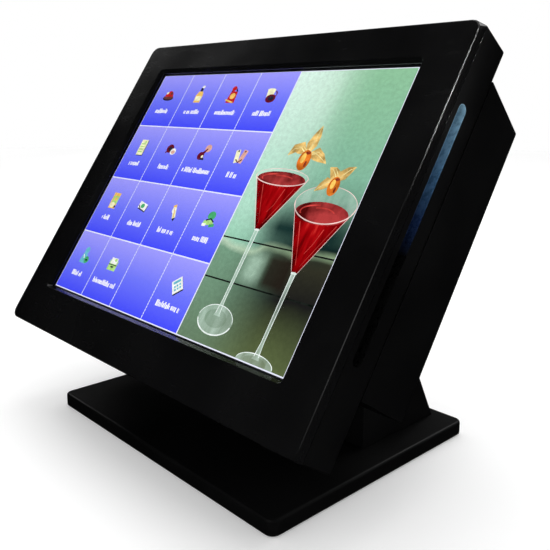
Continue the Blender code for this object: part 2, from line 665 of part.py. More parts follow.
def hinge_brackets(stand):
    clear = WALL + 0.5
    hole = disc_x(HINGE_Y, HINGE_Z, SHAFT_RADIUS + GAP, -200, 200, 16)
    for sign in (-1, 1):
        x0, x1 = sorted((sign * BRACKET_X0, sign * BRACKET_X1))
        f0, f1 = sorted((sign * (BRACKET_X1 - 1), sign * 104.0))
        plate = along_x(neck_outline(clear, NECK_BOTTOM + GAP), x0, x1)
        flange = block(f0, f1, 24, 84, NECK_BOTTOM + GAP, NECK_BOTTOM + GAP + 3)
        screw_x, radius = sign * NECK_SCREW_X, NECK_SCREW_SHANK + GAP
        screw_holes = [disc_z(screw_x, y, radius, 0, 30, 16) for y in NECK_SCREW_Y]
        stand.add(f"hinge_bracket_{side_name(sign)}", "dark_steel", plate,
                  join=([flange],), cut=([hole], screw_holes))


NECK_SCREW_X, NECK_SCREW_Y = 92.0, (36.0, 72.0)
NECK_SCREW_SHANK, NECK_SCREW_HEAD = 2.0, 4.2
WEIGHT_LOW, WEIGHT_HIGH = 2.2, 8.2
COVER_WALL = 2.5
FOOT_X, FOOT_Y, FOOT_RADIUS = 118.0, 86.0, 10.0


def neck_screw_spots():
    return [(sign * NECK_SCREW_X, y) for sign in (-1, 1) for y in NECK_SCREW_Y]


def at_neck_screws(radius, top):
    return [disc_z(x, y, radius, 0, top, 16) for x, y in neck_screw_spots()]


def base_outline(inset):
    half_w, half_d = BASE_W / 2 - inset, BASE_D / 2 - inset
    return rounded_rect(-half_w, half_w, -half_d, half_d, BASE_CORNER - inset, 6)


def base(stand):
    low, rounding = 0.6, 2.0
    levels = [(0.5, low), (0, low + 0.5), (0, BASE_TOP - rounding), (0.27, BASE_TOP - 1.0),
              (1.0, BASE_TOP - 0.27), (rounding, BASE_TOP)]
    shell = [[(x, y, z) for x, y in base_outline(inset)] for inset, z in levels]
    inside = along_z(base_outline(COVER_WALL), low - 2, BASE_TOP - COVER_WALL)
    holes = at_neck_screws(NECK_SCREW_SHANK + GAP, BASE_TOP + 1)
    stand.add("base_cover", "black_plastic", shell, cut=([inside], holes))
    slab = along_z(base_outline(COVER_WALL + 2 * GAP), WEIGHT_LOW, WEIGHT_HIGH)
    sinks = at_neck_screws(NECK_SCREW_HEAD + GAP, WEIGHT_LOW + 3)
    stand.add("base_weight", "dark_steel", slab, cut=(holes, sinks))


def rubber_feet(stand):
    spots = [(sx * FOOT_X, sy * FOOT_Y, 0) for sx in (-1, 1) for sy in (-1, 1)]
    levels = [(FOOT_RADIUS - 1, 0), (FOOT_RADIUS, 0.6), (FOOT_RADIUS, WEIGHT_LOW - GAP)]
    foot = [[(x, y, z) for x, y in circle(0, 0, radius)] for radius, z in levels]
    stand.copies("rubber_foot", "rubber", spots, foot)


def neck_screws(stand):
    cap = disc_z(0, 0, NECK_SCREW_HEAD, 0, 2.4, 16)
    shank = disc_z(0, 0, NECK_SCREW_SHANK, 2.3, 13.5, 16)
    socket = disc_z(0, 0, 1.6, -1, 1.4, 6)
    for number, (x, y) in enumerate(neck_screw_spots(), 1):
        one = Group(stand.empty, (x, y, WEIGHT_LOW + GAP))
        one.add(f"neck_screw_{number}", "dark_steel", cap, join=([shank],), cut=([socket],))


def main():
    for obj in list(bpy.data.objects):
        bpy.data.objects.remove(obj, do_unlink=True)
    stand = make_group("stand_origin", (0, BASE_CENTRE_Y, 0), 0, (0, 0, 0))
    hinge = (0, BASE_CENTRE_Y + HINGE_Y, HINGE_Z)
    head = make_group("tilt_axis", hinge, -REST_TILT, (0, -HINGE_DEPTH, -HINGE_HEIGHT))
    for build in (front_bezel, screen_stack, mid_case, case_screws, card_reader, speakers,
                  power_button, touch_controller, rear_housing, chassis_plate, motherboard,
                  processor_and_sink, memory_module, storage_drive, power_board, connectors,
                  tilt_arm, arm_screws):
        build(head)
    for build in (hinge_fixings, neck_shell, neck_rear_cover, hinge_brackets, base, rubber_feet,
                  neck_screws):
        build(stand)


main()
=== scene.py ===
"""Looks for the point-of-sale touchscreen terminal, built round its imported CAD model.

Lengths are millimetres in the drawing functions and become metres through MM.
The picture on the screen is drawn from its own lower left corner, a little inside the screen's:
x along it, y up it, and z out of it, from the back of the touch glass.
"""

import json
import math
import random

import bmesh
import bpy
from mathutils import Matrix, Vector


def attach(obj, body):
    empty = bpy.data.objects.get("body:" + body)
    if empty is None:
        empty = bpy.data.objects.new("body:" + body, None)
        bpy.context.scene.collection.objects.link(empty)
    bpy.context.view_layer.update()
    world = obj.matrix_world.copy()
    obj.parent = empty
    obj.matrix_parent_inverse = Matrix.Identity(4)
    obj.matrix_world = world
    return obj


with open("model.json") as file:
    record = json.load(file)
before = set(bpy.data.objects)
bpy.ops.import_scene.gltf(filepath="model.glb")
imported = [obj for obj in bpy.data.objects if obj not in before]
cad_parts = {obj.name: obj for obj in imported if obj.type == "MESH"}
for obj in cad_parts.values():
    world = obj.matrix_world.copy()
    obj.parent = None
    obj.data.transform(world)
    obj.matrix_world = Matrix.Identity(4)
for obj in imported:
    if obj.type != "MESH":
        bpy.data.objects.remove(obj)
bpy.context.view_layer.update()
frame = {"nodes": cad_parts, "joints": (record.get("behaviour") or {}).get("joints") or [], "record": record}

MM = 0.001
SCREEN_W, SCREEN_H = 304.1, 228.1


# Directions and places of the head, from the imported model

def reach(node, direction):
    """The lowest and highest place of a CAD node's points along a direction."""
    places = [vertex.co.dot(direction) for vertex in frame["nodes"][node].data.vertices]
    return min(places), max(places)


def joint(name):
    return next(each for each in frame["joints"] if each["name"] == name)


ACROSS = Vector((1, 0, 0))
UP = Vector(joint("power_button_press")["axis"]).normalized()
OUT = Vector((0, -UP.z, UP.y))
GLASS_LOW, GLASS_HIGH = reach("touch_glass", UP)
GLASS_BACK = reach("touch_glass", OUT)[0]
FACE = reach("front_bezel", OUT)[1]
HEAD_RIGHT = reach("front_bezel", ACROSS)[1]
HEAD_HIGH = reach("front_bezel", UP)[1]
SCREEN_LOW = (GLASS_LOW + GLASS_HIGH) / 2 - SCREEN_H * MM / 2


def head_point(across, up, out):
    return ACROSS * across + UP * up + OUT * out


def head_matrix(across, up, out):
    """Axes along the screen, with their origin at a place in the head."""
    matrix = Matrix((ACROSS, UP, OUT)).transposed().to_4x4()
    matrix.translation = head_point(across, up, out)
    return matrix


PICTURE_W, PICTURE_H = 300.6, 225.8
PICTURE_LEFT, PICTURE_LOW = 0.6, 1.4
PICTURE = head_matrix((PICTURE_LEFT - SCREEN_W / 2) * MM, SCREEN_LOW + PICTURE_LOW * MM, GLASS_BACK)


# Materials

def display(red, green, blue):
    """A colour as a display shows it, made linear."""
    return tuple(((c + 0.055) / 1.055) ** 2.4 if c > 0.04045 else c / 12.92 for c in (red, green, blue))


class Finish:
    """A node material, with short calls that build it."""

    def __init__(self, name, **values):
        self.material = bpy.data.materials.new(name)
        self.material.use_nodes = True
        self.nodes = self.material.node_tree.nodes
        self.links = self.material.node_tree.links
        self.shader = self.nodes["Principled BSDF"]
        self.place = self.node("TexCoord").outputs["Object"]
        for name, value in values.items():
            self.set(name.replace("_", " "), value)

    def set(self, socket, value):
        self.plug(self.shader.inputs[socket], value)

    def plug(self, socket, value):
        if isinstance(value, bpy.types.NodeSocket):
            self.links.new(value, socket)
        elif isinstance(value, tuple) and len(value) == 3 and socket.type == "RGBA":
            socket.default_value = (*value, 1)
        else:
            socket.default_value = value

    def node(self, kind, inputs=None, **settings):
        node = self.nodes.new("ShaderNode" + kind)
        for name, value in settings.items():
            setattr(node, name, value)
        for name, value in (inputs or {}).items():
            self.plug(node.inputs[name], value)
        return node

    def stretched(self, scale):
        return self.node("Mapping", {"Vector": self.place, "Scale": scale}).outputs["Vector"]

    def noise(self, scale, detail=2.0, where=None):
        inputs = {"Vector": where or self.place, "Scale": scale, "Detail": detail}
        return self.node("TexNoise", inputs).outputs["Fac"]

    def cells(self, scale, feature="F1", where=None):
        inputs = {"Vector": where or self.place, "Scale": scale}
        return self.node("TexVoronoi", inputs, feature=feature).outputs["Distance"]

    def spread(self, factor, low, high, start=0.3, end=0.7):
        """A number between low and high as the factor goes from start to end."""
        inputs = {"Value": factor, "From Min": start, "From Max": end, "To Min": low, "To Max": high}
        return self.node("MapRange", inputs, interpolation_type="SMOOTHSTEP").outputs["Result"]

    def ramp(self, factor, stops):
        node = self.node("ValToRGB", {"Fac": factor})
        elements = node.color_ramp.elements
        while len(elements) < len(stops):
            elements.new(0.5)
        for element, (position, colour) in zip(elements, stops):
            element.position = position
            element.color = (*colour, 1)
        return node.outputs["Color"]

    def mix(self, factor, first, second, blend="MIX"):
        node = self.node("Mix", data_type="RGBA", blend_type=blend)
        for name, value in (("Factor_Float", factor), ("A_Color", first), ("B_Color", second)):
            socket = next(each for each in node.inputs if each.identifier == name)
            self.plug(socket, value)
        return next(each for each in node.outputs if each.identifier == "Result_Color")

    def math(self, operation, first, second=0.0):
        node = self.node("Math", operation=operation)
        self.plug(node.inputs[0], first)
        self.plug(node.inputs[1], second)
        return node.outputs["Value"]

    def along(self, direction, low, high, clamp=True):
        """0 to 1 between two places along a direction."""
        node = self.node("VectorMath", {0: self.place, 1: direction}, operation="DOT_PRODUCT")
        inputs = {"Value": node.outputs["Value"], "From Min": low, "From Max": high}
        return self.node("MapRange", inputs, clamp=clamp).outputs["Result"]

    def patch(self, x0, x1, y0, y1, blur):
        """1 inside a soft-edged rectangle, in millimetres, and 0 outside it."""
        sides = [self.along((1, 0, 0), (x0 - blur) * MM, (x0 + blur) * MM),
                 self.along((-1, 0, 0), (-x1 - blur) * MM, (-x1 + blur) * MM),
                 self.along((0, 1, 0), (y0 - blur) * MM, (y0 + blur) * MM),
                 self.along((0, -1, 0), (-y1 - blur) * MM, (-y1 + blur) * MM)]
        area = sides[0]
        for side in sides[1:]:
            area = self.math("MULTIPLY", area, side)
        return area

    def bump(self, height, strength, distance=0.0002, normal=None):
        inputs = {"Height": height, "Strength": strength, "Distance": distance}
        node = self.node("Bump", inputs)
        if normal is not None:
            self.plug(node.inputs["Normal"], normal)
        self.set("Normal", node.outputs["Normal"])
        return node.outputs["Normal"]


def moulded_plastic(name, dark, light, grain=1500, depth=0.25, rough=(0.3, 0.42), gloss=0.35):
    """Textured moulded plastic, with fine grain, handling marks and dull patches."""
    finish = Finish(name, Specular_IOR_Level=gloss)
    patches = finish.noise(14, 3)
    fine = finish.noise(grain, 3)
    marks = finish.noise(55, 6, finish.stretched((1, 6, 1.5)))
    finish.set("Base Color", finish.ramp(patches, [(0.35, dark), (0.65, light)]))
    level = finish.spread(patches, rough[0], rough[1])
    worn = finish.spread(marks, 0.0, 0.05, 0.55, 0.75)
    finish.set("Roughness", finish.math("ADD", level, worn))
    finish.bump(fine, depth, 0.00006, finish.bump(patches, 0.04, 0.001))
    return finish


def touch_glass(name):
    finish = Finish(name, Base_Color=(1.0, 1.0, 1.0), Transmission_Weight=1.0, IOR=1.5)
    smears = finish.noise(38, 5, finish.stretched((1, 0.4, 0.4)))
    finish.set("Roughness", finish.spread(smears, 0.0, 0.02, 0.5, 0.8))
    finish.bump(finish.noise(900, 1), 0.01, 0.00002)
    return finish


def rubber(name):
    finish = Finish(name, Specular_IOR_Level=0.25)
    grit = finish.noise(700, 4)
    finish.set("Base Color", finish.ramp(grit, [(0.3, (0.006, 0.006, 0.006)), (0.8, (0.02, 0.02, 0.021))]))
    finish.set("Roughness", finish.spread(grit, 0.75, 0.95))
    finish.bump(grit, 0.4, 0.0001)
    return finish


def circuit_board(name):
    """Green solder mask over copper tracks, with pale pads."""
    finish = Finish(name, Specular_IOR_Level=0.5)
    tracks = finish.cells(260, "DISTANCE_TO_EDGE", finish.stretched((1, 0.35, 0.35)))
    pads = finish.cells(420)
    mask = finish.ramp(tracks, [(0.04, (0.02, 0.16, 0.06)), (0.1, (0.008, 0.075, 0.03))])
    pale = finish.spread(pads, 1.0, 0.0, 0.1, 0.16)
    finish.set("Base Color", finish.mix(pale, mask, (0.55, 0.5, 0.38)))
    finish.set("Roughness", finish.spread(finish.noise(60), 0.28, 0.45))
    finish.bump(tracks, 0.3, 0.00008)
    return finish


def metal(name, dark, light, rough, stretch=(1, 1, 1), scale=220, scratch=0.15):
    """Metal with a grain along one direction, dull patches and fine scratches."""
    finish = Finish(name, Metallic=1.0)
    grain = finish.noise(scale, 5, finish.stretched(stretch))
    patches = finish.noise(25, 3)
    finish.set("Base Color", finish.ramp(patches, [(0.3, dark), (0.7, light)]))
    level = finish.spread(grain, rough[0], rough[1])
    finish.set("Roughness", finish.math("ADD", level, finish.spread(patches, 0.0, 0.08)))
    finish.bump(grain, scratch, 0.00005)
    return finish


def zinc(name):
    """Zinc plated sheet, with its faint crystals."""
    finish = Finish(name, Metallic=1.0)
    crystals = finish.cells(90)
    grain = finish.noise(400, 4, finish.stretched((1, 0.2, 0.2)))
    stops = [(0.1, (0.42, 0.43, 0.44)), (0.6, (0.6, 0.61, 0.6))]
    finish.set("Base Color", finish.ramp(crystals, stops))
    finish.set("Roughness", finish.spread(grain, 0.28, 0.5))
    finish.bump(crystals, 0.06, 0.0001)
    return finish


# Painted highlight in the card slot: the lining's colour is pale grey-blue at the top and fades to black
# lower down, standing in for light falling into the slot
SLOT_PAINTED_HIGHLIGHT = display(0.6, 0.75, 0.82)
PAINTED_HIGHLIGHT_START = 0.42


def slot_plastic_painted_highlight(name):
    """The card slot's glossy lining, with a painted highlight: its colour turns from grey-blue at its top to
    black.
    """
    finish = Finish(name, Specular_IOR_Level=0.4)
    low, high = reach("card_reader_body", UP)
    height = finish.along(UP, low + (high - low) * PAINTED_HIGHLIGHT_START, high)
    # Painted highlight: black low in the slot, rising to pale grey-blue at its top
    stops = [
        (0.0, (0.003, 0.003, 0.003)),
        (0.22, display(0.12, 0.2, 0.36)),
        (0.5, display(0.3, 0.46, 0.6)),
        (0.8, display(0.5, 0.66, 0.76)),
        (1.0, SLOT_PAINTED_HIGHLIGHT),
    ]
    cloud = finish.noise(260, 4)
    shade = finish.spread(cloud, 0.6, 1.0)
    finish.set("Base Color", finish.mix(1.0, finish.ramp(height, stops), shade, "MULTIPLY"))
    finish.set("Roughness", finish.spread(cloud, 0.22, 0.4))
    finish.bump(finish.noise(900), 0.1, 0.00005)
    return finish


BLACK = (0.0026, 0.0026, 0.0028)
BLACK_LIT = (0.0042, 0.0042, 0.0045)
TRIM = (0.004, 0.004, 0.004)
TRIM_LIT = (0.009, 0.009, 0.009)

SLOT_FINISHES = {
    "black_case": moulded_plastic("case_plastic", BLACK, BLACK_LIT),
    "black_trim": moulded_plastic("trim_plastic", TRIM, TRIM_LIT, grain=900, depth=0.5, rough=(0.45, 0.6)),
    "touch_glass": touch_glass("touch_glass"),
    "display_module": moulded_plastic("panel_frame", BLACK, TRIM, grain=500, rough=(0.3, 0.5)),
    "rubber": rubber("rubber"),
    "circuit_board": circuit_board("circuit_board"),
    "plated_metal": metal("nickel", (0.5, 0.49, 0.46), (0.68, 0.67, 0.64), (0.18, 0.32), (1, 1, 4)),
    "bare_aluminium": metal("aluminium", (0.6, 0.61, 0.62), (0.76, 0.77, 0.78), (0.25, 0.45), (8, 1, 1)),
    "sheet_steel": zinc("zinc_sheet"),
    "black_steel": metal("black_steel", (0.02, 0.02, 0.022), (0.05, 0.05, 0.055), (0.35, 0.55), (1, 3, 3)),
}
NODE_FINISHES = {
    "front_bezel": moulded_plastic("bezel_plastic", BLACK, BLACK_LIT,
                                   grain=1900, rough=(0.2, 0.28), gloss=0.55),
    "base_cover": moulded_plastic("base_plastic", BLACK, BLACK_LIT,
                                  grain=1100, depth=0.35, rough=(0.36, 0.5)),
    # The card reader body carries the slot's painted highlight in its colour
    "card_reader_body": slot_plastic_painted_highlight("slot_lining"),
}


def finish_nodes():
    """Give every CAD node its own finish, or else its material slot's."""
    slot_of = {part["node"]: part["material_slot"] for part in frame["record"]["subparts"]}
    for name, node in frame["nodes"].items():
        finish = NODE_FINISHES.get(name) or SLOT_FINISHES[slot_of[name]]
        node.data.materials.clear()
        node.data.materials.append(finish.material)


# Softened edges of the moulded housings

WELD_REACH = 0.000005
SOFTENED_ANGLE = 38


def soften(node, width):
    """Round a CAD node's sharp edges a little, inside its own shape."""
    obj = frame["nodes"][node]
    weld = obj.modifiers.new("weld", "WELD")
    weld.merge_threshold = WELD_REACH
    bevel = obj.modifiers.new("bevel", "BEVEL")
    bevel.width = width * MM
    bevel.segments = 2
    bevel.limit_method = "ANGLE"
    bevel.angle_limit = math.radians(SOFTENED_ANGLE)
    bevel.harden_normals = True
    bevel.use_clamp_overlap = True


SOFT_EDGES = {
    "front_bezel": 0.25,
    "mid_case": 0.5,
    "rear_housing": 0.5,
    "neck_shell": 0.6,
    "neck_rear_cover": 0.4,
    "base_cover": 0.25,
    "tilt_arm": 0.4,
    "touch_glass": 0.2,
}


# Flat shapes, in millimetres

def box(x0, x1, y0, y1):
    return [(x0, y0), (x1, y0), (x1, y1), (x0, y1)]


def turned(outline, degrees):
    a = math.radians(degrees)
    return [(x * math.cos(a) - y * math.sin(a), x * math.sin(a) + y * math.cos(a)) for x, y in outline]


def moved(outline, dx, dy, size=1.0):
    return [(x * size + dx, y * size + dy) for x, y in outline]


def arc(cx, cy, rx, ry, start=0, end=360, steps=28):
    angles = [math.radians(start + (end - start) * i / steps) for i in range(steps + 1)]
    return [(cx + rx * math.cos(a), cy + ry * math.sin(a)) for a in angles]


def oval(cx, cy, rx, ry, steps=28):
    return arc(cx, cy, rx, ry, 0, 360 * (steps - 1) / steps, steps - 1)


def band(cx, cy, rx, ry, width, start, end, steps=24):
    """A strip that follows part of an oval."""
    outer = arc(cx, cy, rx, ry, start, end, steps)
    inner = arc(cx, cy, rx - width, ry - width, start, end, steps)
    return outer + inner[::-1]


def stroke(points, width):
    """A strip of even or tapering width along a line of points."""
    widths = width if isinstance(width, (list, tuple)) else [width] * len(points)
    left, right = [], []
    for i, (x, y) in enumerate(points):
        ax, ay = points[max(i - 1, 0)]
        bx, by = points[min(i + 1, len(points) - 1)]
        length = math.hypot(bx - ax, by - ay)
        nx, ny = -(by - ay) / length * widths[i] / 2, (bx - ax) / length * widths[i] / 2
        left.append((x + nx, y + ny))
        right.append((x - nx, y - ny))
    return left + right[::-1]


def add_plate(bm, outline, low, high):
    """A closed plate between two heights."""
    rings = [[bm.verts.new((x * MM, y * MM, z * MM)) for x, y in outline] for z in (low, high)]
    bm.faces.new(rings[0])
    bm.faces.new(rings[1])
    for i, vert in enumerate(rings[0]):
        j = (i + 1) % len(outline)
        bm.faces.new((vert, rings[0][j], rings[1][j], rings[1][i]))


SMOOTH_ANGLE = 35


def piece_from(name, bm, matrix, body, finish, smooth=False):
    """Make a piece of the visual model that moves with a body."""
    bmesh.ops.recalc_face_normals(bm, faces=bm.faces)
    mesh = bpy.data.meshes.new(name)
    bm.to_mesh(mesh)
    bm.free()
    if smooth:
        mesh.shade_smooth()
        mesh.set_sharp_from_angle(angle=math.radians(SMOOTH_ANGLE))
    mesh.materials.append(finish.material)
    obj = bpy.data.objects.new(name, mesh)
    bpy.context.scene.collection.objects.link(obj)
    obj.matrix_world = matrix
    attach(obj, body)


# The picture on the screen: thin lit layers just behind the touch glass

LAYER_BACK, LAYER_STEP, LAYER_THICK = -0.26, 0.022, 0.014
LIT = 1.2


def lit(name):
    return Finish(name, Base_Color=(0.0, 0.0, 0.0), Specular_IOR_Level=0.0, Roughness=0.6,
                  Emission_Strength=LIT)


def paint(name, colour, vary=0.14, scale=260):
    """A lit colour with soft brush-like variation."""
    finish = lit(name)
    shade = finish.noise(scale, 3)
    dark = tuple(c * (1 - vary) for c in colour)
    pale = tuple(min(c * (1 + vary) + vary * 0.04, 1.0) for c in colour)
    finish.set("Emission Color", finish.ramp(shade, [(0.35, dark), (0.65, pale)]))
    return finish


def layer(name, number, outlines, finish):
    """A piece of the picture; a higher number lies nearer to the glass."""
    bm = bmesh.new()
    low = LAYER_BACK + LAYER_STEP * number
    for outline in outlines:
        add_plate(bm, outline, low, low + LAYER_THICK)
    piece_from("picture_" + name, bm, PICTURE, "head", finish)


ROWS, COLUMNS = 4, 4
CELL_W, CELL_H = 47.0, PICTURE_H / ROWS
GRID_W = COLUMNS * CELL_W
LINE = 0.9
DASH_STEP, DASH_LOW, DASH_HIGH, DASH_HALF = 2.6, 1.5, 2.3, 0.4


def cell_corner(row, column):
    """Lower left corner of a cell; row 0 is the top one."""
    return column * CELL_W, PICTURE_H - (row + 1) * CELL_H


def tile_finish():
    """Each row's tiles go from pale violet at the top to deep blue at the bottom."""
    finish = lit("tile_blue")
    height = finish.along((0, 1, 0), 0, CELL_H * MM, clamp=False)
    share = finish.math("FRACT", height)
    grain = finish.spread(finish.noise(420, 2), -0.025, 0.025)
    stops = [
        (0.02, display(0.27, 0.3, 0.97)),
        (0.5, display(0.43, 0.46, 0.97)),
        (0.97, display(0.61, 0.6, 0.98)),
    ]
    finish.set("Emission Color", finish.ramp(finish.math("ADD", share, grain), stops))
    return finish


def draw_grid():
    white = paint("line_white", display(0.9, 0.91, 0.98), 0.05)
    layer("backlight", 0, [box(0, PICTURE_W, 0, PICTURE_H)], white)
    tiles, dashes = [], []
    for row in range(ROWS):
        for column in range(COLUMNS):
            x, y = cell_corner(row, column)
            tiles.append(box(x + LINE * 0.5, x + CELL_W - LINE * 0.5, y + LINE, y + CELL_H - LINE * 0.2))
    layer("tiles", 1, tiles, tile_finish())
    gap_shade = paint("line_shade", display(0.62, 0.66, 0.97), 0.1)
    for column in range(1, COLUMNS):
        x = column * CELL_W
        for i in range(int(PICTURE_H / DASH_STEP)):
            y = i * DASH_STEP
            dashes.append(box(x - DASH_HALF, x + DASH_HALF, y + DASH_LOW, y + DASH_HIGH))
    layer("column_dots", 1.8, dashes, gap_shade)


PAINTS = {
    "red": paint("icon_red", display(0.75, 0.12, 0.13)),
    "plum": paint("icon_plum", display(0.4, 0.05, 0.13)),
    "brown": paint("icon_brown", display(0.4, 0.22, 0.2)),
    "peach": paint("icon_peach", display(0.87, 0.66, 0.6)),
    "amber": paint("icon_amber", display(0.92, 0.74, 0.38)),
    "cream": paint("icon_cream", display(0.94, 0.93, 0.76)),
    "white": paint("icon_white", display(0.94, 0.95, 0.93)),
    "lime": paint("icon_lime", display(0.67, 0.85, 0.5)),
    "green": paint("icon_green", display(0.27, 0.66, 0.42)),
    "teal": paint("icon_teal", display(0.4, 0.72, 0.8)),
    "night": paint("icon_night", display(0.12, 0.12, 0.2)),
}


# Generic pictograms, drawn within about 7 mm of their middle: lists of (paint, outline), the lowest first

def dish(first, second):
    dome = arc(0, -1, 5, 5, 0, 180, 12)
    return [("night", oval(0, -2.4, 6.6, 2.2)), (first, oval(0, -1.6, 6.2, 1.8)), (second, dome),
            ("cream", turned(box(-3, -0.6, 2.6, 4.2), 28)), (first, oval(2.0, 1.8, 1.5, 1.3))]


def bottle(first, second):
    body = [(-3.6, -6), (3.6, -6), (4, 0), (2.4, 3.4), (-2.4, 3.4), (-4, 0)]
    return [(first, body), (second, box(-3.3, 3.3, -4.4, -0.6)), ("night", box(-1.5, 1.5, 3.4, 6.6)),
            ("white", oval(0.6, 7.2, 1.6, 1.2))]


def bag(first, second):
    sack = [(-4.4, -6), (4.6, -6), (3.6, 3), (-3.2, 3.6)]
    handle = stroke([(-3, 3), (0, 6.6), (3, 3)], 1.3)
    return [(first, sack), (second, oval(0.2, -0.6, 2.7, 2.4)), ("night", handle),
            (first, oval(-1.2, 5.4, 2.3, 2)), (second, turned(box(-4.6, 4.6, -5.4, -4.2), -14))]


def cup(first, second):
    bowl = [(-4, 4), (3.4, 4.6), (2.4, -3), (-2.6, -3.4)]
    return [(first, bowl), (second, oval(1.6, -2.4, 4.6, 3.2)), ("night", oval(2, -2.2, 2.8, 1.8)),
            (first, oval(-0.6, 4.2, 3.6, 1.1)), (second, band(4.0, 0.8, 2.4, 2.6, 0.9, -90, 90, 8))]


def note(first, second):
    lines = [(second, box(-3, 2.6, y, y + 0.9)) for y in (-4.4, -2.2, 0.0, 2.2)]
    return [("night", moved(box(-4, 4, -6.6, 6.2), 0.7, -0.6)), (first, box(-4, 4, -6.6, 6.2)), *lines,
            (second, oval(1.6, 4.2, 1.2, 1.0))]


def pair(first, second):
    return [(first, oval(-2.2, 0.8, 4, 3.4)), ("night", oval(-1.8, 0.6, 2.2, 1.7)),
            ("white", oval(2.6, -1.4, 3.2, 2.6)), (second, oval(2.8, -1.8, 2.0, 1.5)),
            (first, turned(box(-6.4, -3.2, 0.4, 1.6), 34))]


def signal(first, second):
    return [(first, oval(-2.2, -2.6, 3.4, 3)), (second, oval(2.6, 3.4, 3.2, 2.9)),
            (first, stroke([(-1, -1), (2.4, 3)], [2.6, 1])), ("night", box(-1.6, 2.6, -5.6, -4)),
            ("cream", oval(-0.2, -3, 1.2, 1.1))]


def tags(first, second):
    return [(first, turned(box(-5, -1, -4.4, 5), 14)), (second, turned(box(0.4, 4.4, -4.6, 5), -12)),
            ("night", oval(-3.4, 3.4, 0.7, 0.7)), ("brown", oval(3, 3.4, 0.7, 0.7)),
            ("brown", stroke([(-3, -2.6), (0, -4.8), (3, -2.4)], 1.0))]


def till_roll(first, second):
    return [(first, box(-4, 4.4, -6.4, 6.2)), (second, box(-2.8, 4.4, -2.4, 3.6)),
            ("cream", oval(-0.4, -3.6, 3.2, 2.2)), ("night", box(2.6, 4.4, -5.6, -3.8)),
            (first, oval(1, 1.2, 1.8, 1.5))]


def banknote(first, second):
    sheet = turned(box(-5, 5, -2.6, 2.6), -12)
    return [("night", moved(sheet, 0.5, -0.9)), (first, sheet), (second, oval(0, 0, 2.2, 1.7)),
            ("night", stroke([(-4.6, 0.2), (-1.4, -2.6), (2, -3.4)], 0.9))]


def pencil(first, second):
    shaft = turned(box(-1.6, 1.6, -4.4, 5.6), 24)
    return [(first, shaft), ("night", turned([(-1.6, -4.4), (1.6, -4.4), (0, -7)], 24)),
            (second, turned(box(-1.6, 1.6, 3.2, 5.6), 24)), ("white", oval(-1.4, 1.4, 1.8, 2.2)),
            (second, turned(box(-0.5, 0.4, -4, 3), 24))]


def hand_over(first, second):
    palm = [(-5.4, -4.6), (5.8, -3.2), (3, -0.2), (-4.6, -1)]
    return [(first, oval(0.6, 2.6, 3.6, 3)), (second, palm), ("white", box(-5.2, -1.6, -5, -3.2)),
            ("night", stroke([(-3, -1), (1, 0.6), (4.6, -1.4)], 1)),
            (first, turned(box(0.8, 5.6, -5.6, -3.6), 12))]


def person(first, second):
    coat = [(-5, -5.4), (3.4, -5.8), (2, 1.4), (-3.4, 2)]
    return [(first, coat), (first, oval(-0.8, 4, 2.6, 2.7)), (second, oval(3.2, -2.6, 3, 2.6)),
            ("night", box(1.8, 4.6, -3.4, -2.2)), ("white", stroke([(-2.6, 1), (-0.6, -2)], 0.9))]


def drawer(first, second):
    return [(first, box(-5, 5, -4.4, 3)), (second, box(-3.8, 3.8, 0.4, 4.8)),
            ("night", box(-1.6, 1.6, -2.4, -1.2)), (first, oval(1.6, 3.4, 1.5, 1.1)),
            ("night", box(-4.8, 4.8, -0.6, 0.0))]


def keypad(first, second):
    case = turned(box(-4.4, 4.4, -4.6, 4.6), 38)
    keys = [(second, turned(box(x, x + 1.5, y, y + 1.4), 38)) for x in (-2.8, -0.6, 1.6) for y in (-3, -0.8)]
    return [("night", moved(case, 0.8, -0.7)), (first, case), *keys,
            (second, turned(box(-3, 3.2, 1.8, 3.6), 38))]


ICON_ROWS = (
    (dish("brown", "red"), bottle("amber", "cream"), bag("red", "amber"), cup("cream", "plum")),
    (note("cream", "lime"), pair("plum", "peach"), signal("plum", "peach"), tags("cream", "peach")),
    (till_roll("amber", "lime"), banknote("white", "green"), pencil("cream", "amber"),
     hand_over("green", "lime")),
    (person("teal", "green"), drawer("lime", "white"), (), keypad("white", "teal")),
)
ICON_HEIGHT, ICON_SIZE, ICON_STEPS = 0.605, 1.25, 5


def draw_icons():
    """One piece for each paint and drawing step, so that later shapes lie over earlier ones."""
    groups = {}
    for row, icons in enumerate(ICON_ROWS):
        for column, icon in enumerate(icons):
            x, y = cell_corner(row, column)
            for step, (name, outline) in enumerate(icon):
                shape = moved(outline, x + CELL_W / 2, y + CELL_H * ICON_HEIGHT, ICON_SIZE)
                groups.setdefault((min(step, ICON_STEPS), name), []).append(shape)
    for (step, name), shapes in sorted(groups.items()):
        layer(f"icon_{name}_{step}", 2 + step, shapes, PAINTS[name])


# Captions, as rows of marks that spell nothing

CAPTION_WIDTHS = ((19, 22, 26, 21), (17, 15, 37, 12), (13, 20, 22, 19), (16, 35, 0, 30))
CAPTION_HEIGHT = 0.262
MARK_WIDTHS, MARK_GAPS, MARK_HEIGHTS, MARK_LOWS = (0.9, 1.8), (0.4, 0.6), (3.2, 3.5, 4.8), (-0.3, 0.3)
WORD_GAP, WORD_CHANCE = 1.3, 0.12


def caption_marks(x, y, width, seed):
    """Plain upright marks in the place of a caption, in one or more groups."""
    source = random.Random(seed)
    marks, place, end = [], x - width / 2, x + width / 2
    while place < end:
        wide = source.uniform(*MARK_WIDTHS)
        low = source.uniform(*MARK_LOWS)
        high = source.choice(MARK_HEIGHTS)
        marks.append(box(place, min(place + wide, end), y + low, y + high))
        place += wide + source.uniform(*MARK_GAPS)
        if source.random() < WORD_CHANCE:
            place += WORD_GAP
    return marks


